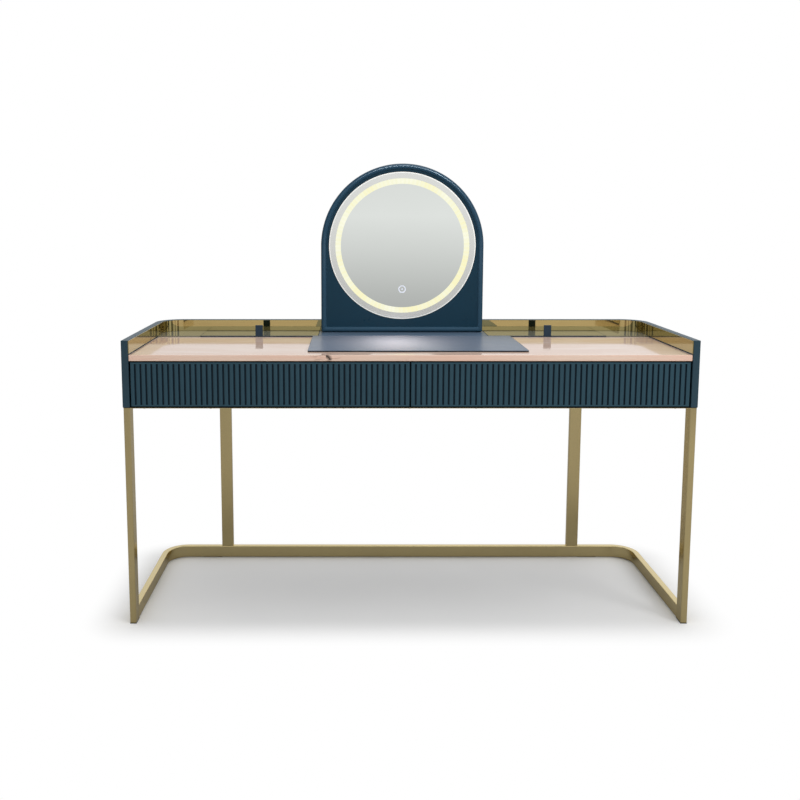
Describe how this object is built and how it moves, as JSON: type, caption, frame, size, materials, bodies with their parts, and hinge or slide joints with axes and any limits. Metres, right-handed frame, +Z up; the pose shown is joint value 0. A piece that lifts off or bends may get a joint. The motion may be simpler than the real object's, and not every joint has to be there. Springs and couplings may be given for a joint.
{
  "type": "dressing table with mirror",
  "caption": "Lacquered dressing table with fluted drawers on a gold tube frame, stone top in a gold-lined gallery, flip-up glass lids over storage wells and an arched lit mirror.",
  "frame": {"origin": "on the floor, under the middle of the table", "axes": "+Z up, the front faces -Y, +X to the right seen from the front"},
  "size_m": [1.5, 0.5, 1.244],
  "materials": {
    "lacquer": "satin petrol-blue lacquer on board",
    "dark_lacquer": "satin dark blue lacquer on board",
    "gold_tube": "polished champagne-gold plated steel",
    "gold_mirror": "mirror-polished gold sheet",
    "pink_stone": "polished pale pink stone",
    "back_painted_glass": "tinted glass bonded on painted board",
    "tinted_glass": "grey-green tinted glass",
    "blue_trim": "satin dark blue",
    "slate_leather": "smooth slate-blue leather",
    "silvered_glass": "silvered",
    "warm_light": "lit diffuser",
    "zinc_steel": "zinc plated",
    "drawer_wood": "light wood",
    "black_plastic": "matt black",
    "black_nylon": "matt black nylon",
    "circuit_board": "white-marked green board"
  },
  "bodies": {
    "table": {"left_front_leg": "gold_tube", "left_rear_leg": "gold_tube", "left_front_glide": "black_nylon", "left_rear_glide": "black_nylon", "right_front_leg": "gold_tube", "right_rear_leg": "gold_tube", "right_front_glide": "black_nylon", "right_rear_glide": "black_nylon", "floor_rail": "gold_tube", "front_top_bar": "gold_tube", "rear_top_bar": "gold_tube", "left_side_panel": "lacquer", "right_side_panel": "lacquer", "back_panel": "lacquer", "power_inlet": "black_plastic", "bottom_panel": "dark_lacquer", "centre_divider": "dark_lacquer", "gold_liner": "gold_mirror", "marble_top": "pink_stone", "mirror_base_board": "slate_leather", "left_ledge_corner": "back_painted_glass", "right_ledge_corner": "back_painted_glass", "desk_pad": "slate_leather", "left_drawer_inner_body_rail": "zinc_steel", "left_drawer_outer_body_rail": "zinc_steel", "right_drawer_inner_body_rail": "zinc_steel", "right_drawer_outer_body_rail": "zinc_steel", "left_well_box": "dark_lacquer", "left_hinge_body_leaf": "zinc_steel", "left_hinge_pin": "zinc_steel", "right_well_box": "dark_lacquer", "right_hinge_body_leaf": "zinc_steel", "right_hinge_pin": "zinc_steel", "mirror_housing": "lacquer", "mirror_face_panel": "dark_lacquer", "mirror_glass": "silvered_glass", "light_ring": "warm_light", "led_board": "circuit_board", "touch_sensor": "black_plastic", "mirror_rear_cover": "black_plastic"},
    "left_drawer": {"left_drawer_front": "lacquer", "left_drawer_inner_side": "drawer_wood", "left_drawer_outer_side": "drawer_wood", "left_drawer_back": "drawer_wood", "left_drawer_bottom": "drawer_wood", "left_drawer_inner_drawer_rail": "zinc_steel", "left_drawer_outer_drawer_rail": "zinc_steel"},
    "right_drawer": {"right_drawer_front": "lacquer", "right_drawer_inner_side": "drawer_wood", "right_drawer_outer_side": "drawer_wood", "right_drawer_back": "drawer_wood", "right_drawer_bottom": "drawer_wood", "right_drawer_inner_drawer_rail": "zinc_steel", "right_drawer_outer_drawer_rail": "zinc_steel"},
    "left_lid": {"left_glass_lid": "tinted_glass", "left_lid_pull": "blue_trim", "left_hinge_lid_leaf": "zinc_steel"},
    "right_lid": {"right_glass_lid": "tinted_glass", "right_lid_pull": "blue_trim", "right_hinge_lid_leaf": "zinc_steel"}
  },
  "joints": [
    {"name": "left_drawer_slide", "type": "slide", "parent": "table", "child": "left_drawer", "axis": [0, -1, 0], "range_m": [0, 0.25]},
    {"name": "right_drawer_slide", "type": "slide", "parent": "table", "child": "right_drawer", "axis": [0, -1, 0], "range_m": [0, 0.25]},
    {"name": "left_lid_hinge", "type": "hinge", "parent": "table", "child": "left_lid", "pos_m": [-0.4285, 0.2247, 0.7311], "axis": [-1, 0, 0], "range_deg": [0, 80]},
    {"name": "right_lid_hinge", "type": "hinge", "parent": "table", "child": "right_lid", "pos_m": [0.4285, 0.2247, 0.7311], "axis": [-1, 0, 0], "range_deg": [0, 80]}
  ]
}
